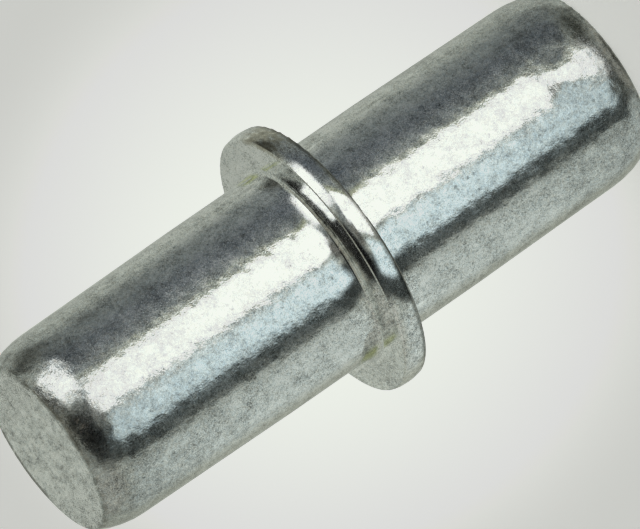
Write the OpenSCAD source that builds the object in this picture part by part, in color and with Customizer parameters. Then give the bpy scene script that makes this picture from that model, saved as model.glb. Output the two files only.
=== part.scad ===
// Shelf support pin: a plain steel pin for a drilled cabinet side, cold-headed in one
// piece. The lower half plugs into the hole, the collar stops it against the panel,
// and the upper half carries the shelf.
//
// Frame: +Z runs along the pin. The pin stands on its lower end face, and the origin
// is at the middle of that face. Millimetres.

/* [Shank] */
// Diameter of the shank beside the collar, to suit the drilled hole
shank_d = 5.0; // [4:0.1:5.8]
// Length of the true cylinder beside the collar, on each side
straight_len = 2.4; // [1.5:0.1:6]
// How much smaller the shank's diameter is where its rounded end starts
draw_down = 0.10; // [0.02:0.02:0.4]
// Length of the lower half, from the collar to its end face
lower_len = 7.60; // [5:0.01:20]
// Length of the upper half, from the collar to its end face
upper_len = 7.76; // [5:0.01:20]

/* [Rounded ends] */
// Length of the rounding at each end, along the pin
end_round_len = 1.10; // [0.6:0.05:2.5]
// How far the rounding draws in, from the shank's side to the flat end face
end_round_in = 0.35; // [0.2:0.05:0.8]
// Radius of the small edge between the rounding and the flat end face
end_edge_r = 0.10; // [0.05:0.01:0.15]

/* [Collar] */
// Outside diameter of the collar
collar_d = 6.9; // [6.4:0.1:12]
// Thickness of the collar
collar_t = 0.64; // [0.5:0.01:1.5]
// Radius of the crowned rim, seen in section
crown_r = 1.07; // [0.9:0.01:5]
// Radius of the rim's lower edge
lower_edge_r = 0.08; // [0.02:0.01:0.2]
// Radius of the rim's upper edge
upper_edge_r = 0.04; // [0.02:0.01:0.2]
// Fillet between the shank and each face of the collar
root_fillet = 0.12; // [0.05:0.01:0.3]
// Height of the shank's gentle flare above each face of the collar
flare_len = 0.34; // [0.32:0.01:1]
// Radius of the flare, seen in section
flare_r = 1.7; // [1.3:0.05:10]

/* [Hidden] */
$fn = 128;

shank_r = shank_d / 2;
tip_r = shank_r - draw_down / 2;
face_r = tip_r - end_round_in;
collar_r = collar_d / 2;

// The rounding is an arc that leaves the shank's side at a tangent and runs, again at
// a tangent, into the small edge round. Its radius follows from how far it reaches
// along the pin and how far it draws in, and its sweep is the angle it turns through.
arc_reach = end_round_len - end_edge_r;
arc_r = (pow(end_round_in, 2) - pow(end_edge_r, 2) + pow(arc_reach, 2))
    / (2 * (end_round_in - end_edge_r));
arc_sweep = asin(arc_reach / (arc_r - end_edge_r));

// The shank flares a little where it meets the collar. The flare leaves the shank at a
// tangent and runs, again at a tangent, into the small fillet on the collar's face.
fillet_drop = flare_len - root_fillet;
fillet_sweep = asin(fillet_drop / (flare_r - root_fillet));
fillet_r = shank_r + flare_r - (flare_r - root_fillet) * cos(fillet_sweep);
fillet_top = root_fillet * (1 - sin(fillet_sweep));
fillet_in = fillet_r - root_fillet * cos(fillet_sweep);

// Half-section of one half of the pin, radius against height: the collar's face is at
// height 0 and the end face at height len.
module half_section(len) {
    round_start = len - end_round_len;
    edge_height = len - end_edge_r;
    arc_rise = arc_r * sin(arc_sweep);

    // Straight cylinder, then the slight taper
    polygon([
        [0, 0],
        [shank_r, 0],
        [shank_r, straight_len],
        [tip_r, round_start],
        [0, round_start]
    ]);

    // Rounded end
    intersection() {
        translate([tip_r - arc_r, round_start]) circle(r = arc_r);
        translate([0, round_start]) square([tip_r, arc_rise]);
    }

    // Small edge round and the flat end face
    translate([face_r, edge_height]) circle(r = end_edge_r);
    translate([0, round_start]) square([face_r, end_round_len]);

    // Flare of the shank
    difference() {
        translate([0, fillet_top]) square([fillet_in, flare_len - fillet_top]);
        translate([shank_r + flare_r, flare_len]) circle(r = flare_r);
    }

    // Fillet on the collar's face
    difference() {
        translate([0, -root_fillet]) square([fillet_r, fillet_top + root_fillet]);
        translate([fillet_r, root_fillet]) circle(r = root_fillet);
    }
}

// Where an edge round of radius edge_r sits inside the crowned rim: the angle above or
// below the rim's middle at which it takes over, and the radius of its centre.
function edge_angle(edge_r) = asin((collar_t / 2 - edge_r) / (crown_r - edge_r));
function edge_centre(edge_r) =
    collar_r - crown_r + (crown_r - edge_r) * cos(edge_angle(edge_r));

// Half-section of the collar, with its lower face at height 0.
module collar_section() {
    middle = collar_t / 2;
    crown_low = middle - crown_r * sin(edge_angle(lower_edge_r));
    crown_high = middle + crown_r * sin(edge_angle(upper_edge_r));

    // Crowned rim
    intersection() {
        translate([collar_r - crown_r, middle]) circle(r = crown_r);
        translate([0, crown_low]) square([collar_r + 1, crown_high - crown_low]);
    }

    // Lower face and its edge round
    square([edge_centre(lower_edge_r), middle]);
    translate([edge_centre(lower_edge_r), lower_edge_r]) circle(r = lower_edge_r);

    // Upper face and its edge round
    translate([0, middle]) square([edge_centre(upper_edge_r), middle]);
    translate([edge_centre(upper_edge_r), collar_t - upper_edge_r])
        circle(r = upper_edge_r);
}

// The whole pin, turned from one half-section.
module pin() {
    color([0.74, 0.76, 0.75])
        translate([0, 0, lower_len])
            rotate_extrude() {
                mirror([0, 1]) half_section(lower_len);
                collar_section();
                translate([0, collar_t]) half_section(upper_len);
            }
}

pin();
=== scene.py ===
"""Shelf support pin: zinc-plated finish, soft light tent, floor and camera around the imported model.

The pin stands on its lower end at the origin, with its length along +Z. All lengths are in metres.
"""

import math

import bpy
from mathutils import Matrix, Vector


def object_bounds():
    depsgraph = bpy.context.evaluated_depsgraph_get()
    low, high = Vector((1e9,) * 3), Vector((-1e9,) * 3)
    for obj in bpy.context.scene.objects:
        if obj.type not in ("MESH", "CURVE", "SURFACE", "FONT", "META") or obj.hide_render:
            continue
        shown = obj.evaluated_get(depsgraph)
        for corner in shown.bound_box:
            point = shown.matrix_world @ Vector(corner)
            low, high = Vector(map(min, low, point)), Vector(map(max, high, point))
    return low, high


bl_info = {
    "name": "Shelf support pin",
    "version": (1, 0, 0),
    "blender": (4, 5, 0),
    "location": "View3D > Sidebar > Shelf Pin",
    "description": "Finish, light and camera for a zinc-plated shelf support pin",
    "category": "Object",
}

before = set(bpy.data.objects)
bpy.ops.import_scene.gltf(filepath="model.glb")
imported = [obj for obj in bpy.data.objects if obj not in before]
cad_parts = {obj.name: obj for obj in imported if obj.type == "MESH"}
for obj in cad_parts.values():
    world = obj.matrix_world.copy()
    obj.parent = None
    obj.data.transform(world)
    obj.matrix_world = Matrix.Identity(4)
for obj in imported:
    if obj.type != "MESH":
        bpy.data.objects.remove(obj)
CAD_LOW, CAD_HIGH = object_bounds()
PIN_NODE = "pin"
MILLIMETRE = 0.001
MICRON = 1e-6

PIN_LENGTH = CAD_HIGH.z - CAD_LOW.z
PIN_MIDDLE = PIN_LENGTH / 2
COLLAR_LOW = 7.60 * MILLIMETRE
COLLAR_HIGH = 8.24 * MILLIMETRE
COLLAR_MIDDLE = (COLLAR_LOW + COLLAR_HIGH) / 2
SHANK_RADIUS = 2.5 * MILLIMETRE
COLLAR_RADIUS = 3.45 * MILLIMETRE
TIP_LENGTH = 1.1 * MILLIMETRE
FACE_RADIUS = 2.1 * MILLIMETRE
# The pin's rounded bands, in millimetres: radius and height of the arc's middle, the band's lowest
# and highest radius and height, and 1 where it bulges out or -1 where it is hollow. Heights count
# from the collar's middle for the collar's bands, and from the pin's middle, either way, for the
# ends' bands.
# The crown's middle and the near flare's are a little off the solid's, and the near flare runs
# 0.09 mm further. That leans the normals there by one to three degrees, and their shine with them.
COLLAR_BANDS = {
    "crown": (2.38, -0.02, 3.40, 3.50, -0.2594, 0.2909, 1.0),
    "near_edge": (3.3712, 0.28, 3.3712, 3.50, 0.2909, 0.40, 1.0),
    "far_edge": (3.3405, -0.24, 3.3405, 3.50, -0.40, -0.2594, 1.0),
    "near_root": (2.6413, 0.44, 2.50, 2.6413, 0.30, 0.4233, -1.0),
    "near_flare": (4.40, 0.75, 2.49, 2.60, 0.4233, 0.75, -1.0),
}
END_BANDS = {
    "rounding": (0.225, 6.90, 2.188, 2.60, 6.90, 7.947, 1.0),
    "face_edge": (2.10, 7.90, 2.10, 2.60, 7.947, 8.10, 1.0),
}
BAND_EDGE = 0.002 * MILLIMETRE


def at_azimuth(azimuth, radius, height):
    """The point at a radius and height, and at an azimuth in degrees that is 0 towards -Y."""
    turn = math.radians(azimuth)
    return (radius * math.sin(turn), -radius * math.cos(turn), height)


# The single marks: the place of each and how far it reaches.
BULGE_PLACE = at_azimuth(8.0, SHANK_RADIUS, 1.48 * MILLIMETRE)
BULGE_REACH = 0.75 * MILLIMETRE
BULGE_RISE = 0.065 * MILLIMETRE
TARNISH_PLACE = at_azimuth(60.0, COLLAR_RADIUS, COLLAR_MIDDLE)
TARNISH_REACH = 1.3 * MILLIMETRE
TARNISH_FULL = 0.4 * TARNISH_REACH
SCRATCH_HEIGHT = 0.985 * MILLIMETRE
SCRATCH_PLACE = at_azimuth(4.0, SHANK_RADIUS, SCRATCH_HEIGHT)
SCRATCH_REACH = 0.5 * MILLIMETRE
SCRATCH_FULL = 0.7 * SCRATCH_REACH
SCRATCH_WIDTH = 0.014 * MILLIMETRE
# A darker broken line along the +Y side of the upper end face's edge.
DARK_LINE_PLACE = at_azimuth(181.0, FACE_RADIUS, PIN_LENGTH)
DARK_LINE_REACH = 1.15 * MILLIMETRE
DARK_LINE_FULL = 0.6 * DARK_LINE_REACH

# The zones of the finish. A pair is where a zone starts and where it is full, and a single length
# is where it ends at once.
FLAT_END_RADIUS = (FACE_RADIUS + 0.06 * MILLIMETRE, FACE_RADIUS)
FLANK_ACROSS = (0.30 * SHANK_RADIUS, 0.55 * SHANK_RADIUS)
TIP_START = PIN_MIDDLE - TIP_LENGTH
TIP_FROM_MIDDLE = (TIP_START, TIP_START + 0.2 * TIP_LENGTH)
TIP_RADIUS = (FACE_RADIUS, FACE_RADIUS + 0.1 * MILLIMETRE)
COLLAR_ZONE = 1.2 * MILLIMETRE
BESIDE_COLLAR = (COLLAR_ZONE, 0.65 * COLLAR_ZONE)
RIM_BELOW = (0.13 * MILLIMETRE, 0.25 * MILLIMETRE)
RIM_RADIUS = (1.30 * SHANK_RADIUS, 1.32 * SHANK_RADIUS)
RIM_HALF_HEIGHT = 0.5 * MILLIMETRE
TARNISH_RADIUS = (1.30 * SHANK_RADIUS, 1.34 * SHANK_RADIUS)
END_EDGE_FROM_MIDDLE = (PIN_MIDDLE - 0.14 * MILLIMETRE, PIN_MIDDLE - 0.08 * MILLIMETRE)
END_EDGE_RADIUS = (FACE_RADIUS - 0.07 * MILLIMETRE, FACE_RADIUS - 0.03 * MILLIMETRE)
DARK_LINE_RADIUS = (FACE_RADIUS - 0.19 * MILLIMETRE, FACE_RADIUS - 0.12 * MILLIMETRE)
DARK_LINE_BOTTOM = PIN_LENGTH - 0.13 * MILLIMETRE
COLLAR_FACE_RADIUS = (1.06 * SHANK_RADIUS, 1.10 * SHANK_RADIUS)
COLLAR_FACE_BOTTOM = COLLAR_HIGH - 0.01 * MILLIMETRE
COLLAR_FACE_TOP = COLLAR_HIGH + 0.5 * MILLIMETRE
ROOT_UPPER = (0.60 * MILLIMETRE, 0.36 * MILLIMETRE)
ROOT_LOWER = (0.02 * MILLIMETRE, 0.16 * MILLIMETRE)
ROOT_RADIUS = (SHANK_RADIUS + 0.16 * MILLIMETRE, SHANK_RADIUS + 0.05 * MILLIMETRE)
ROOT_ACROSS = (0.91 * SHANK_RADIUS, 0.97 * SHANK_RADIUS)

# The patterns of the finish. Each is taken from its own part of space, so that no two run alike,
# and the facets, ripples and tip marks of the relief share one.
PATTERN_PLACES = {
    "relief": (0.0, 0.0, 0.0),
    "mottle": (0.013, 0.0, 0.0),
    "stains": (0.019, 0.0, 0.0),
    "grain": (0.0, 0.017, 0.0),
    "warmth": (0.0, 0.029, 0.0),
    "specks": (0.0, 0.0, 0.023),
    "end_edges": (0.0, 0.0, 0.031),
    "root_corners": (0.0, 0.0, 0.037),
    "pits": (0.0, 0.0, 0.041),
    "rim_tarnish": (0.0, 0.0, 0.043),
    "end_dark_line": (0.0, 0.0, 0.047),
}
NOISE_MIDDLE = 0.5
# How a pattern is squeezed along X, Y and Z. A small number draws it out along that axis.
EVEN = (1.0, 1.0, 1.0)
DRAWN_BACK = (1.0, 0.5, 0.85)
ROUND_THE_TIP = (0.12, 0.12, 1.0)
ROUND_THE_RIM = (0.25, 0.25, 1.0)
# Patches: feature size, detail, roughness, squeeze, and the noise where they start and are full.
PATCHES = {
    "stains": (1.6 * MILLIMETRE, 5.0, 0.75, EVEN, 0.61, 0.74),
    "pits": (0.09 * MILLIMETRE, 0.0, 0.5, EVEN, 0.71, 0.80),
    "end_edges": (0.35 * MILLIMETRE, 3.0, 0.7, EVEN, 0.44, 0.58),
    "end_dark_line": (0.22 * MILLIMETRE, 2.0, 0.6, EVEN, 0.30, 0.44),
    "root_corners": (0.5 * MILLIMETRE, 2.0, 0.5, EVEN, 0.36, 0.50),
    "rim_tarnish": (0.12 * MILLIMETRE, 2.0, 0.5, ROUND_THE_RIM, 0.30, 0.60),
}


# ---------------------------------------------------------------- shader graph

# How the nodes are laid out in the shader editor.
NODES_IN_COLUMN = 6
COLUMN_WIDTH = 220
ROW_HEIGHT = 260


class Wire:
    """One node socket that takes part in Python sums; each operation adds its Math node."""

    def __init__(self, graph, socket):
        self.graph = graph
        self.socket = socket

    def math(self, operation, *values):
        """This socket, and up to two more values, through one Math node."""
        sockets = dict(enumerate((self, *values)))
        return self.graph.node("Math", {"operation": operation}, sockets)

    def __add__(self, other):
        return self.math("ADD", other)

    __radd__ = __add__

    def __mul__(self, other):
        return self.math("MULTIPLY", other)

    __rmul__ = __mul__

    def __sub__(self, other):
        return self.math("SUBTRACT", other)

    def __rsub__(self, other):
        return self.graph.node("Math", {"operation": "SUBTRACT"}, {0: other, 1: self})

    def __truediv__(self, other):
        return self.math("DIVIDE", other)

    def __pow__(self, other):
        return self.math("POWER", other)

    def __neg__(self):
        return self.math("MULTIPLY", -1.0)

    def __abs__(self):
        return self.math("ABSOLUTE")


class Graph:
    """A node tree that is filled by one method."""

    def __init__(self, tree):
        self.tree = tree
        self.tree.nodes.clear()
        self.count = 0

    def node(self, kind, settings=None, sockets=None, output=0):
        """Adds a node: its settings first, then the values or links of its sockets."""
        made = self.tree.nodes.new("ShaderNode" + kind)
        column, row = divmod(self.count, NODES_IN_COLUMN)
        made.location = (COLUMN_WIDTH * column, -ROW_HEIGHT * row)
        self.count += 1
        for name, value in (settings or {}).items():
            setattr(made, name, value)
        for name, value in (sockets or {}).items():
            if isinstance(value, Wire):
                self.tree.links.new(value.socket, made.inputs[name])
            else:
                made.inputs[name].default_value = value
        return Wire(self, made.outputs[output]) if made.outputs else made

    def mix(self, factor, first, second):
        """Two colours through a Mix node; a plain triple is a colour."""
        pair = (first, second)
        first, second = ((*c, 1.0) if isinstance(c, tuple) else c for c in pair)
        settings = {"data_type": "RGBA", "clamp_factor": True}
        return self.node("Mix", settings, {0: factor, 6: first, 7: second}, output=2)

    def step(self, value, low, high):
        """A smooth step from 0 at low to 1 at high."""
        sockets = {"Value": value, "From Min": low, "From Max": high, "To Min": 0.0, "To Max": 1.0}
        return self.node("MapRange", {"interpolation_type": "SMOOTHSTEP"}, sockets)

    def noise(self, place, scale, detail=2.0, roughness=0.5):
        """Soft noise around its middle, at so many features a unit of length."""
        sockets = {"Vector": place, "Scale": scale, "Detail": detail, "Roughness": roughness}
        return self.node("TexNoise", {"noise_dimensions": "3D"}, sockets)

    def stretch(self, place, factors):
        """A vector or colour with each of its parts multiplied by its own factor."""
        return self.node("VectorMath", {"operation": "MULTIPLY"}, {0: place, 1: factors})

    def shift(self, place, offset):
        """A vector moved by an offset."""
        return self.node("VectorMath", {"operation": "ADD"}, {0: place, 1: offset})

    def parts(self, place):
        """The three parts of a vector."""
        split = self.node("SeparateXYZ", None, {0: place})
        outputs = split.socket.node.outputs
        return tuple(Wire(self, outputs[name]) for name in "XYZ")


DISPLAY_WHITE = 255.0
# The standard display curve: a straight foot, then a power of the raised share.
CURVE_FOOT = 0.04045
CURVE_SLOPE = 12.92
CURVE_RAISE = 0.055
CURVE_POWER = 2.4


def srgb(red, green, blue):
    """A colour given as 0 to 255 display values, as linear light."""

    def linear(value):
        share = value / DISPLAY_WHITE
        if share <= CURVE_FOOT:
            return share / CURVE_SLOPE
        return ((share + CURVE_RAISE) / (1.0 + CURVE_RAISE)) ** CURVE_POWER

    return tuple(linear(value) for value in (red, green, blue))


LAMP_GREEN = 1.02
LAMP_BLUE = 0.98


def glow(strength):
    """The tone of a lamp, as a multiple of a very slightly green white."""
    return (strength, LAMP_GREEN * strength, LAMP_BLUE * strength)


# ------------------------------------------------------------------- settings


class ZincFinishSettings(bpy.types.PropertyGroup):
    """What a user would change on the zinc plating."""

    zinc_colour: bpy.props.FloatVectorProperty(
        name="Zinc colour",
        description="Reflected colour of the clean plating",
        subtype="COLOR",
        size=3,
        min=0.0,
        max=1.0,
        default=(0.74, 0.76, 0.75),
    )
    gloss_roughness: bpy.props.FloatProperty(
        name="Gloss roughness",
        description="Roughness of the plating's clear reflection",
        subtype="FACTOR",
        min=0.02,
        max=0.6,
        default=0.11,
    )
    haze_roughness: bpy.props.FloatProperty(
        name="Haze roughness",
        description="Roughness of the soft haze that lies over the clear reflection",
        subtype="FACTOR",
        min=0.1,
        max=1.0,
        default=0.30,
    )
    haze_share: bpy.props.FloatProperty(
        name="Haze share",
        description="Share of the light that the haze takes",
        subtype="FACTOR",
        min=0.0,
        max=1.0,
        default=0.30,
    )
    mottle_size: bpy.props.FloatProperty(
        name="Mottle size",
        description="Width of the largest light and dark patches of the plating",
        unit="LENGTH",
        min=1e-5,
        max=1e-2,
        default=0.40 * MILLIMETRE,
    )
    mottle_strength: bpy.props.FloatProperty(
        name="Mottle strength",
        description="How much the patches lighten and darken the plating",
        min=0.0,
        max=5.0,
        default=2.4,
    )
    grain_size: bpy.props.FloatProperty(
        name="Grain size",
        description="Width of one crystal grain of the plating",
        unit="LENGTH",
        min=1e-5,
        max=1e-3,
        default=0.022 * MILLIMETRE,
    )
    grain_strength: bpy.props.FloatProperty(
        name="Grain strength",
        description="How much the grains lighten and darken the plating",
        min=0.0,
        max=5.0,
        default=1.0,
    )
    # Painted shade: the zinc is drawn darker from the pin's middle towards both tips.
    end_painted_shade: bpy.props.FloatProperty(
        name="End dullness",
        description="How much duller the plating gets from the middle towards both ends",
        subtype="FACTOR",
        min=0.0,
        max=1.0,
        default=0.42,
    )
    stain_strength: bpy.props.FloatProperty(
        name="Stain strength",
        description="How strongly the brown stains cover the plating",
        subtype="FACTOR",
        min=0.0,
        max=1.0,
        default=0.35,
    )
    mark_depth: bpy.props.FloatProperty(
        name="Mark depth",
        description="Height of the fine marks round both tips",
        unit="LENGTH",
        min=0.0,
        max=1e-4,
        default=3.0 * MICRON,
    )
    facet_size: bpy.props.FloatProperty(
        name="Facet size",
        description="Width of the grain's raised facets",
        unit="LENGTH",
        min=1e-5,
        max=1e-3,
        default=0.036 * MILLIMETRE,
    )
    facet_depth: bpy.props.FloatProperty(
        name="Facet depth",
        description="Height of the grain's facets",
        unit="LENGTH",
        min=0.0,
        max=1e-4,
        default=2.6 * MICRON,
    )
    ripple_size: bpy.props.FloatProperty(
        name="Ripple size",
        description="Width of the soft ripples under the grain",
        unit="LENGTH",
        min=1e-5,
        max=1e-2,
        default=0.30 * MILLIMETRE,
    )
    ripple_depth: bpy.props.FloatProperty(
        name="Ripple depth",
        description="Height of the soft ripples",
        unit="LENGTH",
        min=0.0,
        max=1e-3,
        default=15.0 * MICRON,
    )


class StageSettings(bpy.types.PropertyGroup):
    """Camera, floor and light of the studio."""

    floor_colour: bpy.props.FloatVectorProperty(
        name="Floor colour",
        description="Colour of the plain floor",
        subtype="COLOR",
        size=3,
        min=0.0,
        max=1.0,
        default=(0.80, 0.81, 0.77),
    )
    # A painted pool of light: the floor glows brighter in a soft pool behind the pin.
    painted_pool_strength: bpy.props.FloatProperty(
        name="Pool strength",
        description="Brightness of the pool of light behind the pin",
        min=0.0,
        max=5.0,
        default=0.60,
    )
    floor_half_width: bpy.props.FloatProperty(
        name="Floor half width",
        description="Half the side of the square floor",
        unit="LENGTH",
        min=0.05,
        max=2.0,
        default=0.6,
    )
    camera_elevation: bpy.props.FloatProperty(
        name="Camera elevation",
        description="Angle of the camera above the horizon",
        subtype="ANGLE",
        default=0.3231,
    )
    camera_roll: bpy.props.FloatProperty(
        name="Camera roll",
        description="Angle of the pin from the picture's upright",
        subtype="ANGLE",
        default=0.6042,
    )
    camera_distance: bpy.props.FloatProperty(
        name="Camera distance",
        description="Distance of the camera from the middle of the collar",
        unit="LENGTH",
        min=0.05,
        max=2.0,
        default=261.2 * MILLIMETRE,
    )
    camera_lens: bpy.props.FloatProperty(
        name="Camera lens",
        description="Focal length of the camera in millimetres",
        min=10.0,
        max=2000.0,
        default=642.2,
    )


# ----------------------------------------------------------------- the finish

STAIN_COLOUR = (0.42, 0.41, 0.34)
ROOT_COLOUR = (0.60, 0.64, 0.18)
TARNISH_COLOUR = (0.34, 0.30, 0.21)
# The dark colour of the marks on the ends, and of the painted shade along the rim's lower edge.
DIRT_AND_SHADE_COLOUR = (0.10, 0.095, 0.075)
# How strongly each mark covers the zinc.
ROOT_COVER = 0.75
TARNISH_COVER = 0.7
RIM_SHADE_COVER = 0.7
EDGE_MARK_COVER = 0.45
DARK_LINE_COVER = 0.8
# The brightness of the zinc at the pin's middle, from which a painted shade darkens it towards both
# tips, and how much each zone and pattern changes it.
MIDDLE_SHADE = 1.10
FLANK_GRAIN = 1.0
FLAT_END_MARKS = 0.6
FLAT_END_DULLNESS = 0.045
# Painted light and shade: the collar's upper face is lighter towards +X and darker towards -X.
COLLAR_FACE_PAINTED_LIGHT = 0.17
PIT_DULLNESS = 0.35
TINT_STRENGTH = 0.16
TINT_SIZE = 0.07 * MILLIMETRE
TINT_DETAIL = 1.0
# The noise of the relief and the mottle, and how much of the relief the collar's zone loses.
RELIEF_DETAIL = 1.0
MOTTLE_DETAIL = 4.0
MOTTLE_ROUGHNESS = 0.95
TIP_MARK_SIZE = 0.16 * MILLIMETRE
TIP_MARK_DETAIL = 2.0
COLLAR_CALM = 0.85
# How much the haze and the gloss change over the pin.
END_HAZE = 0.10
MOTTLE_HAZE = 0.8
SPECK_HAZE = 1.4
COLLAR_HAZE_LOSS = 0.6
COLLAR_GLOSS_GAIN = 0.05


class PinPlace:
    """Where a shaded point lies on the pin, as wires for the masks of the finish."""

    def __init__(self, graph):
        self.graph = graph
        self.point = graph.node("TexCoord", output="Object")
        self.across, self.along, self.height = graph.parts(self.point)
        self.radius = (self.across * self.across + self.along * self.along) ** 0.5
        self.from_middle = abs(self.height - PIN_MIDDLE)
        self.from_collar = abs(self.height - COLLAR_MIDDLE)

    def noise_at(self, pattern, size, detail=0.0, roughness=0.5, squeeze=EVEN):
        """Noise of a feature size, taken from its pattern's part of space and squeezed."""
        graph = self.graph
        place = graph.stretch(graph.shift(self.point, PATTERN_PLACES[pattern]), squeeze)
        return graph.noise(place, 1.0 / size, detail, roughness)

    def patches(self, pattern):
        """1 inside the patches of a pattern, 0 between them."""
        size, detail, roughness, squeeze, start, full = PATCHES[pattern]
        noise = self.noise_at(pattern, size, detail, roughness, squeeze)
        return self.graph.step(noise, start, full)

    def distance(self, place):
        """How far the point is from a fixed place."""
        sockets = {0: self.point, 1: place}
        return self.graph.node("VectorMath", {"operation": "DISTANCE"}, sockets, output="Value")

    def band_mask(self, height, low_radius, high_radius, low, high):
        """1 inside one band of the profile, 0 outside it."""
        start = low_radius * MILLIMETRE
        inside = self.graph.step(self.radius, start, start + BAND_EDGE)
        inside = inside * self.radius.math("LESS_THAN", high_radius * MILLIMETRE)
        inside = inside * height.math("GREATER_THAN", low * MILLIMETRE)
        return inside * height.math("LESS_THAN", high * MILLIMETRE)

    def band_normal(self):
        """The normal given by the rounded bands' arcs, and the mesh's own normal elsewhere."""
        graph = self.graph
        from_collar = self.height - COLLAR_MIDDLE
        end_side = (self.height - PIN_MIDDLE).math("SIGN")
        groups = ((COLLAR_BANDS, from_collar, 1.0), (END_BANDS, self.from_middle, end_side))
        outward = 0.0
        upward = 0.0
        known = 0.0
        for bands, height, side in groups:
            for middle_radius, middle_height, *limits, bulge in bands.values():
                mask = self.band_mask(height, *limits)
                outward = outward + mask * (self.radius - middle_radius * MILLIMETRE) * bulge
                upward = upward + mask * (height - middle_height * MILLIMETRE) * side * bulge
                known = known + mask
        reach = outward / self.radius
        sockets = {0: self.across * reach, 1: self.along * reach, 2: upward}
        band = graph.node("CombineXYZ", None, sockets)
        to_world = {"vector_type": "VECTOR", "convert_from": "OBJECT", "convert_to": "WORLD"}
        band = graph.node("VectorTransform", to_world, {0: band})
        band = graph.node("VectorMath", {"operation": "NORMALIZE"}, {0: band})
        mesh = graph.node("NewGeometry", output="Normal")
        sockets = {0: known, 4: mesh, 5: band}
        return graph.node("Mix", {"data_type": "VECTOR"}, sockets, output=1)

    def toward_ends(self):
        """0 at the pin's middle and on the flat end faces, rising to 1 at the tips."""
        share = self.from_middle / PIN_MIDDLE
        return share * share * (1.0 - self.flat_ends())

    def flat_ends(self):
        """1 on the flat end faces, 0 elsewhere."""
        return self.graph.step(self.radius, *FLAT_END_RADIUS)

    def flanks(self):
        """1 out at the pin's two sides, 0 along its front and back."""
        return self.graph.step(abs(self.across), *FLANK_ACROSS)

    def far_rim_painted_shade(self):
        """1 along the lower edge of the collar's rim, fading a little way up the rim: where shade is
        painted.
        """
        edge = self.graph.step(COLLAR_MIDDLE - self.height, *RIM_BELOW)
        rim = self.graph.step(self.radius, *RIM_RADIUS)
        return edge * rim * self.from_collar.math("LESS_THAN", RIM_HALF_HEIGHT)

    def rounded_tips(self):
        """1 on the rounding at both ends, 0 on the shank and on the flat end faces."""
        tips = self.graph.step(self.from_middle, *TIP_FROM_MIDDLE)
        return tips * self.graph.step(self.radius, *TIP_RADIUS)

    def beside_collar(self):
        """1 on the collar and the shank just beside it, 0 on the rest of the pin."""
        return self.graph.step(self.from_collar, *BESIDE_COLLAR)

    def end_edges(self):
        """1 on the small edge between each rounding and its flat end face, in broken lengths."""
        edge = self.graph.step(self.from_middle, *END_EDGE_FROM_MIDDLE)
        edge = edge * self.graph.step(self.radius, *END_EDGE_RADIUS)
        return edge * self.patches("end_edges")

    def end_dark_line(self):
        """1 on a dark, broken line along one side of the upper end face's edge."""
        nicks = self.graph.step(self.distance(DARK_LINE_PLACE), DARK_LINE_REACH, DARK_LINE_FULL)
        nicks = nicks * self.height.math("GREATER_THAN", DARK_LINE_BOTTOM)
        nicks = nicks * self.graph.step(self.radius, *DARK_LINE_RADIUS)
        return nicks * self.patches("end_dark_line")

    def collar_face(self):
        """-1 to 1 across the collar's upper face from side to side, 0 elsewhere, for painted light
        and shade across that face.
        """
        face = self.graph.step(self.radius, *COLLAR_FACE_RADIUS)
        face = face * self.height.math("GREATER_THAN", COLLAR_FACE_BOTTOM)
        face = face * self.height.math("LESS_THAN", COLLAR_FACE_TOP)
        return face * self.across / COLLAR_RADIUS

    def root_corners(self):
        """1 on the shank just clear of the collar, out at the pin's two sides, in patches."""
        above = abs(self.from_collar - (COLLAR_HIGH - COLLAR_LOW) / 2)
        corner = self.graph.step(above, *ROOT_UPPER)
        corner = corner * self.graph.step(above, *ROOT_LOWER)
        corner = corner * self.graph.step(self.radius, *ROOT_RADIUS)
        side = self.graph.step(abs(self.across), *ROOT_ACROSS)
        return corner * side * self.patches("root_corners")

    def rim_tarnish(self):
        """1 on a brown patch of the collar's rim, in short streaks round the rim."""
        patch = self.graph.step(self.distance(TARNISH_PLACE), TARNISH_REACH, TARNISH_FULL)
        patch = patch * self.graph.step(self.radius, *TARNISH_RADIUS)
        return patch * self.patches("rim_tarnish")

    def scratch(self):
        """1 on one fine scratch round the lower tip."""
        line = self.graph.step(abs(self.height - SCRATCH_HEIGHT), SCRATCH_WIDTH, 0.0)
        return line * self.graph.step(self.distance(SCRATCH_PLACE), SCRATCH_REACH, SCRATCH_FULL)


def zinc_relief(settings, pin):
    """Facets, ripples and marks of the plating, as a normal."""
    graph = pin.graph
    tips = pin.rounded_tips()
    facets = pin.noise_at("relief", settings.facet_size, RELIEF_DETAIL, squeeze=DRAWN_BACK)
    ripple = pin.noise_at("relief", settings.ripple_size, RELIEF_DETAIL, squeeze=DRAWN_BACK)
    marks = pin.noise_at("relief", TIP_MARK_SIZE, TIP_MARK_DETAIL, squeeze=ROUND_THE_TIP)
    bulge = graph.step(pin.distance(BULGE_PLACE), BULGE_REACH, 0.0)
    facet_rise = facets * (settings.facet_depth / MICRON)
    height = facet_rise + ripple * (settings.ripple_depth / MICRON)
    height = height * (1.0 - COLLAR_CALM * pin.beside_collar())
    height = height + tips * marks * (settings.mark_depth / MICRON)
    height = height + bulge * (BULGE_RISE / MICRON)
    sockets = {"Strength": 1.0, "Distance": MICRON, "Height": height, "Normal": pin.band_normal()}
    return graph.node("Bump", None, sockets)


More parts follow.
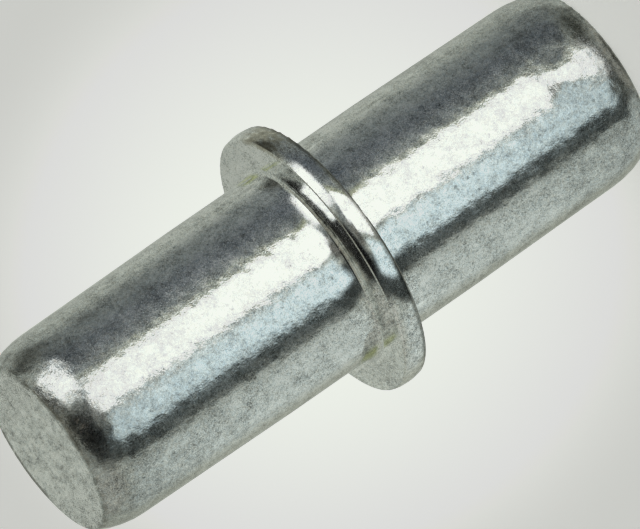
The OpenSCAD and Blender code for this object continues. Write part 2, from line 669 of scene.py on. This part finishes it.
def zinc_colour(settings, pin, mottle, grain):
    """Mottled zinc with pits, stains, tarnish, dark marks and a tint beside the collar, and painted
    shade and light on the tips, the rim and the collar's upper face.
    """
    graph = pin.graph
    faces = pin.flat_ends()
    marks = settings.grain_strength * (grain - NOISE_MIDDLE)
    marks = marks * (1.0 + FLANK_GRAIN * pin.flanks())
    marks = marks + settings.mottle_strength * (mottle - NOISE_MIDDLE)
    # Painted shade: darker from the pin's middle towards both tips, but not on the flat end faces.
    painted_end_shade = MIDDLE_SHADE - settings.end_painted_shade * pin.toward_ends()
    shade = (1.0 + marks * (1.0 + FLAT_END_MARKS * faces)) * painted_end_shade
    shade = shade * (1.0 - FLAT_END_DULLNESS * faces)
    # Painted light and shade across the collar's upper face.
    shade = shade * (1.0 + COLLAR_FACE_PAINTED_LIGHT * pin.collar_face())
    shade = shade * (1.0 - PIT_DULLNESS * pin.patches("pits"))
    warmth = pin.noise_at("warmth", TINT_SIZE, TINT_DETAIL)
    warmth = TINT_STRENGTH * (warmth - NOISE_MIDDLE)
    sockets = {0: shade * (1.0 + warmth), 1: shade, 2: shade * (1.0 - warmth)}
    tinted = graph.node("CombineXYZ", None, sockets)
    colour = graph.stretch(tinted, tuple(settings.zinc_colour))
    stains = settings.stain_strength * pin.patches("stains")
    colour = graph.mix(stains, colour, STAIN_COLOUR)
    colour = graph.mix(ROOT_COVER * pin.root_corners(), colour, ROOT_COLOUR)
    colour = graph.mix(TARNISH_COVER * pin.rim_tarnish(), colour, TARNISH_COLOUR)
    # Painted shade along the lower edge of the collar's rim.
    colour = graph.mix(RIM_SHADE_COVER * pin.far_rim_painted_shade(), colour, DIRT_AND_SHADE_COLOUR)
    # Darker broken marks along the end faces' edges, a fine scratch round the lower tip, and the
    # darker line on the upper face's edge.
    dark_marks = EDGE_MARK_COVER * (pin.end_edges() + pin.scratch()) + DARK_LINE_COVER * pin.end_dark_line()
    return graph.mix(dark_marks, colour, DIRT_AND_SHADE_COLOUR)


def zinc_material(settings):
    """Bright zinc plating: a clear reflection under a soft haze, over mottled fine grain."""
    material = bpy.data.materials.new("zinc_plated_steel_finish")
    material.use_nodes = True
    graph = Graph(material.node_tree)
    pin = PinPlace(graph)
    mottle = pin.noise_at(
        "mottle", settings.mottle_size, MOTTLE_DETAIL, MOTTLE_ROUGHNESS, squeeze=DRAWN_BACK
    )
    grain = pin.noise_at("grain", settings.grain_size)
    specks = pin.noise_at("specks", settings.grain_size)
    collar = pin.beside_collar()
    haze = settings.haze_share + END_HAZE * pin.toward_ends()
    haze = haze + MOTTLE_HAZE * (mottle - NOISE_MIDDLE)
    haze = haze + SPECK_HAZE * (specks - NOISE_MIDDLE)
    haze = haze * (1.0 - COLLAR_HAZE_LOSS * collar)

    surface = {
        "Base Color": zinc_colour(settings, pin, mottle, grain),
        "Metallic": 1.0,
        "Normal": zinc_relief(settings, pin),
    }
    roughness = settings.gloss_roughness - COLLAR_GLOSS_GAIN * collar
    clear = graph.node("BsdfPrincipled", None, {**surface, "Roughness": roughness})
    soft = graph.node("BsdfPrincipled", None, {**surface, "Roughness": settings.haze_roughness})
    both = graph.node("MixShader", None, {0: haze, 1: clear, 2: soft})
    graph.node("OutputMaterial", None, {"Surface": both})
    return material


class SHELFPIN_OT_zinc_finish(bpy.types.Operator):
    """Gives the pin its zinc-plated finish"""

    bl_idname = "shelfpin.zinc_finish"
    bl_label = "Zinc finish"

    def execute(self, context):
        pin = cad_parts[PIN_NODE]
        material = zinc_material(context.scene.shelfpin_finish)
        for slot in pin.material_slots:
            slot.material = material
        return {"FINISHED"}


# ------------------------------------------------------------------ the stage

WALL_TONE = srgb(172, 177, 167)
# The tent's panels from back to front: name, azimuth and elevation of the middle, half width, half
# height, softness across and upward, tilt (all in degrees), tone.
TENT_PANELS = (
    ("left_wall", -104, -34, 34, 28, 12, 9, 0, srgb(191, 199, 193)),
    ("left_head", -95, 18, 36, 16, 14, 8, 0, srgb(182, 184, 174)),
    ("far_left_wall", -150, -7, 14, 36, 14, 10, -20, srgb(173, 177, 164)),
    ("far_right_wall", 163, -20, 30, 38, 10, 10, 0, srgb(179, 184, 174)),
    ("slate", 59, -16, 56.5, 20, 16, 6, -6, srgb(124, 130, 128)),
    ("slate_core", 70, -16, 14.5, 20, 13, 8, -15, srgb(90, 96, 100)),
    ("right_flag", 107, 4, 13.5, 15.5, 9, 5, 28, srgb(76, 78, 72)),
    ("brow", 32, 29.5, 42, 6, 12, 4, 0, srgb(60, 60, 52)),
    ("upper_flag", -19, 16.5, 37, 16.5, 13, 7, 14, srgb(14, 14, 14)),
    ("ceiling_shade", 25, 61, 89, 25, 14, 5, 0, srgb(144, 144, 131)),
    ("slim_flag", -47.2, -24, 17.4, 35, 6, 4, -30, srgb(60, 65, 63)),
    ("lower_flag", 20, -53, 88, 9, 25, 8, 4, srgb(52, 54, 46)),
    ("lower_strip", 0, -67, 127, 3.5, 15, 2, 0, srgb(178, 178, 166)),
    ("foot_shade", 4, -80, 120, 8, 25, 3, 0, srgb(84, 84, 78)),
    ("sky_panel", -27.5, -26, 15.5, 19.5, 4, 6, -22, srgb(222, 239, 241)),
    ("window_edge", 35, -26, 5, 18, 5, 4, -18, srgb(156, 160, 130)),
    ("window", 15.8, -24.3, 18.6, 20, 2.5, 3, -18, glow(1.75)),
    ("window_foot", 13, -48, 24, 6, 12, 4, 3, glow(1.1)),
    ("window_head", 1, -2, 11, 6, 5, 3, 0, srgb(100, 100, 94)),
    ("upper_lamp", 53, 8, 20, 13.5, 8, 6, 0, glow(1.9)),
    ("lip_shade_high", 40, 56, 60, 16, 12, 5, 0, srgb(40, 40, 36)),
    ("lip_shade", 34, 31.5, 90, 12, 10, 4, 6, srgb(30, 30, 28)),
    ("lamp_lip", 55, 25, 26, 7, 4.5, 2.5, 0, glow(2.0)),
    ("spark", -2, 22, 2.5, 1.2, 1.5, 1, 0, srgb(246, 235, 216)),
)
# The panels that show only in a reflection of a reflection on the pin, and the mirrorings between
# once and twice.
TWICE_MIRRORED = ("lip_shade_high", "lip_shade", "lamp_lip")
ONCE_AND_A_HALF = 1.5
# The last panel that has the texture of cloth. The panels in front of it are smooth.
LAST_OF_CLOTH = "foot_shade"
CLOTH_SCALE = 16.0
CLOTH_DETAIL = 2.0
CLOTH_CONTRAST = 1.7
CLOTH_LEVEL = 0.52
HALF_TURN = 180.0
DEGREES = HALF_TURN / math.pi


def tent_texture(graph, tone):
    """Uneven cloth on the tent's walls, which the grain of the metal picks up."""
    direction = graph.node("TexCoord", output="Generated")
    cloth = graph.noise(direction, CLOTH_SCALE, CLOTH_DETAIL)
    share = 1.0 + CLOTH_CONTRAST * (cloth - CLOTH_LEVEL)
    return graph.stretch(tone, graph.node("CombineXYZ", None, {0: share, 1: share, 2: share}))


def tent_light(graph, bounces):
    """The tone of the light tent in each direction, as one colour."""
    twice = bounces.math("GREATER_THAN", ONCE_AND_A_HALF)
    along, toward, up = graph.parts(graph.node("TexCoord", output="Generated"))
    azimuth = along.math("ARCTAN2", -toward) * DEGREES
    elevation = up.math("ARCSINE") * DEGREES
    tone = WALL_TONE
    for name, middle, height, half_width, half_height, soft, rise, tilt, panel in TENT_PANELS:
        aside = (azimuth - middle).math("WRAP", -HALF_TURN, HALF_TURN)
        above = elevation - height
        turn = math.cos(math.radians(tilt))
        lean = math.sin(math.radians(tilt))
        across = abs(aside * turn + above * lean)
        upward = abs(above * turn - aside * lean)
        mask = graph.step(across, half_width + soft, half_width - soft)
        mask = mask * graph.step(upward, half_height + rise, half_height - rise)
        if name in TWICE_MIRRORED:
            mask = mask * twice
        tone = graph.mix(mask, tone, panel)
        if name == LAST_OF_CLOTH:
            tone = tent_texture(graph, tone)
    return tone


BACKDROP_TONE = srgb(204, 206, 200)
EVEN_LIGHT = (0.34, 0.34, 0.34)


def make_world(scene):
    """A pale backdrop for the eye, even soft light for the floor, and the tent for the metal."""
    world = bpy.data.worlds.new("studio_tent")
    scene.world = world
    world.use_nodes = True
    graph = Graph(world.node_tree)
    seen = graph.node("LightPath", output="Is Camera Ray")
    outputs = seen.socket.node.outputs
    mirrored = Wire(graph, outputs["Is Glossy Ray"])
    bounces = Wire(graph, outputs["Glossy Depth"])
    even = graph.mix(seen, EVEN_LIGHT, BACKDROP_TONE)
    tone = graph.mix(mirrored, even, tent_light(graph, bounces))
    light = graph.node("Background", None, {"Color": tone, "Strength": 1.0})
    graph.node("OutputWorld", None, {"Surface": light})


# The painted pool of light in the floor's glow: the way from its middle to the origin.
POOL_SHIFT = (0.0, -25.3 * MILLIMETRE, 0.0)
POOL_RADIUS = 9.8 * MILLIMETRE
POOL_CORE = 0.1 * POOL_RADIUS
POOL_STRETCH = (1.0, 0.29, 1.0)
POOL_TINT = (0.985, 1.0, 0.95)
FLOOR_GLOW = 0.33
FLOOR_ROUGHNESS = 0.9
PAPER_GRAIN = 0.03 * MILLIMETRE
PAPER_STRETCH = (1.0, 0.32, 1.0)
PAPER_SHADE = 0.96
# The glow's share on the light spots of the paper, and how much the dark spots lose.
PAPER_GLOW = 1.02
PAPER_GLOW_LOSS = 0.04


def floor_material(settings):
    """Pale paper that glows, with a painted pool of light in its glow."""
    material = bpy.data.materials.new("floor_paint")
    material.use_nodes = True
    graph = Graph(material.node_tree)
    place = graph.node("TexCoord", output="Object")
    paper = graph.noise(graph.stretch(place, PAPER_STRETCH), 1.0 / PAPER_GRAIN)
    colour = tuple(settings.floor_colour)
    shade = tuple(PAPER_SHADE * part for part in colour)
    offset = graph.stretch(graph.shift(place, POOL_SHIFT), POOL_STRETCH)
    reach = graph.node("VectorMath", {"operation": "LENGTH"}, {0: offset}, output="Value")
    # Painted pool of light: the floor's glow is brightest in a soft pool behind the pin.
    pool = settings.painted_pool_strength * graph.step(reach, POOL_RADIUS, POOL_CORE)
    pool = (FLOOR_GLOW + pool) * (PAPER_GLOW - PAPER_GLOW_LOSS * paper)
    grey = graph.node("CombineXYZ", None, {0: pool, 1: pool, 2: pool})
    surface = {
        "Base Color": graph.mix(paper, colour, shade),
        "Roughness": FLOOR_ROUGHNESS,
        "Emission Color": graph.stretch(grey, POOL_TINT),
        "Emission Strength": 1.0,
    }
    surface = graph.node("BsdfPrincipled", None, surface)
    graph.node("OutputMaterial", None, {"Surface": surface})
    return material


def make_floor(settings):
    """One plain pale square with a painted pool of light, which the metal doesn't mirror."""
    half = settings.floor_half_width
    corners = [(-half, -half, 0.0), (half, -half, 0.0), (half, half, 0.0), (-half, half, 0.0)]
    mesh = bpy.data.meshes.new("floor")
    mesh.from_pydata(corners, [], [(0, 1, 2, 3)])
    mesh.materials.append(floor_material(settings))
    floor = bpy.data.objects.new("floor", mesh)
    floor.visible_glossy = False
    bpy.context.scene.collection.objects.link(floor)


AIM_HEIGHT = 7.95 * MILLIMETRE
AIM_RIGHT = 0.0349 * MILLIMETRE
AIM_DOWN = -0.1253 * MILLIMETRE
SENSOR_WIDTH = 36.0
CLIP_START = 0.01
CLIP_END = 10.0


def make_camera(scene, settings):
    """The camera on the -Y side, aimed just beside the collar."""
    rise = settings.camera_elevation
    roll = settings.camera_roll
    forward = Vector((0.0, math.cos(rise), -math.sin(rise)))
    level = Vector((1.0, 0.0, 0.0))
    upright = Vector((0.0, math.sin(rise), math.cos(rise)))
    right = -math.sin(roll) * level - math.cos(roll) * upright
    up = math.cos(roll) * level - math.sin(roll) * upright
    target = Vector((0.0, 0.0, AIM_HEIGHT))
    place = target - AIM_RIGHT * right + AIM_DOWN * up - settings.camera_distance * forward
    data = bpy.data.cameras.new("camera")
    data.sensor_width = SENSOR_WIDTH
    data.lens = settings.camera_lens
    data.clip_start = CLIP_START
    data.clip_end = CLIP_END
    camera = bpy.data.objects.new("camera", data)
    scene.collection.objects.link(camera)
    turn = Matrix((right, up, -forward)).transposed()
    camera.matrix_world = Matrix.Translation(place) @ turn.to_4x4()
    scene.camera = camera


PAPER_WHITE = (0.91, 0.95, 0.875)
SHOULDER_START = 0.70
BRIGHTEST = 1.34


def set_tone_curve(view):
    """Plain display colours whose brightest tones level off at a paper white."""
    view.view_transform = "Standard"
    view.use_curve_mapping = True
    mapping = view.curve_mapping
    mapping.extend = "HORIZONTAL"
    mapping.white_level = (BRIGHTEST, BRIGHTEST, BRIGHTEST)
    for curve, level in zip(mapping.curves, PAPER_WHITE):
        shoulder = curve.points.new(SHOULDER_START / BRIGHTEST, SHOULDER_START)
        shoulder.handle_type = "VECTOR"
        curve.points[-1].location = (1.0, level)
        curve.points[-1].handle_type = "VECTOR"
    mapping.update()


class SHELFPIN_OT_stage(bpy.types.Operator):
    """Makes the floor, the light tent and the camera"""

    bl_idname = "shelfpin.stage"
    bl_label = "Stage"

    def execute(self, context):
        settings = context.scene.shelfpin_stage
        make_floor(settings)
        make_world(context.scene)
        make_camera(context.scene, settings)
        set_tone_curve(context.scene.view_settings)
        return {"FINISHED"}


# -------------------------------------------------------------------- add-on


class SHELFPIN_PT_panel(bpy.types.Panel):
    """Lists the settings and the steps in their order"""

    bl_idname = "SHELFPIN_PT_panel"
    bl_label = "Shelf support pin"
    bl_space_type = "VIEW_3D"
    bl_region_type = "UI"
    bl_category = "Shelf Pin"

    def draw(self, context):
        for group in (context.scene.shelfpin_finish, context.scene.shelfpin_stage):
            for name in group.__annotations__:
                self.layout.prop(group, name)
        for operator in OPERATORS:
            self.layout.operator(operator.bl_idname)


OPERATORS = (SHELFPIN_OT_zinc_finish, SHELFPIN_OT_stage)
CLASSES = (ZincFinishSettings, StageSettings, *OPERATORS, SHELFPIN_PT_panel)


def register():
    for entry in CLASSES:
        bpy.utils.register_class(entry)
    bpy.types.Scene.shelfpin_finish = bpy.props.PointerProperty(type=ZincFinishSettings)
    bpy.types.Scene.shelfpin_stage = bpy.props.PointerProperty(type=StageSettings)


def unregister():
    del bpy.types.Scene.shelfpin_stage
    del bpy.types.Scene.shelfpin_finish
    for entry in reversed(CLASSES):
        bpy.utils.unregister_class(entry)


def main():
    register()
    bpy.ops.shelfpin.zinc_finish()
    bpy.ops.shelfpin.stage()


if __name__ == "__main__":
    main()
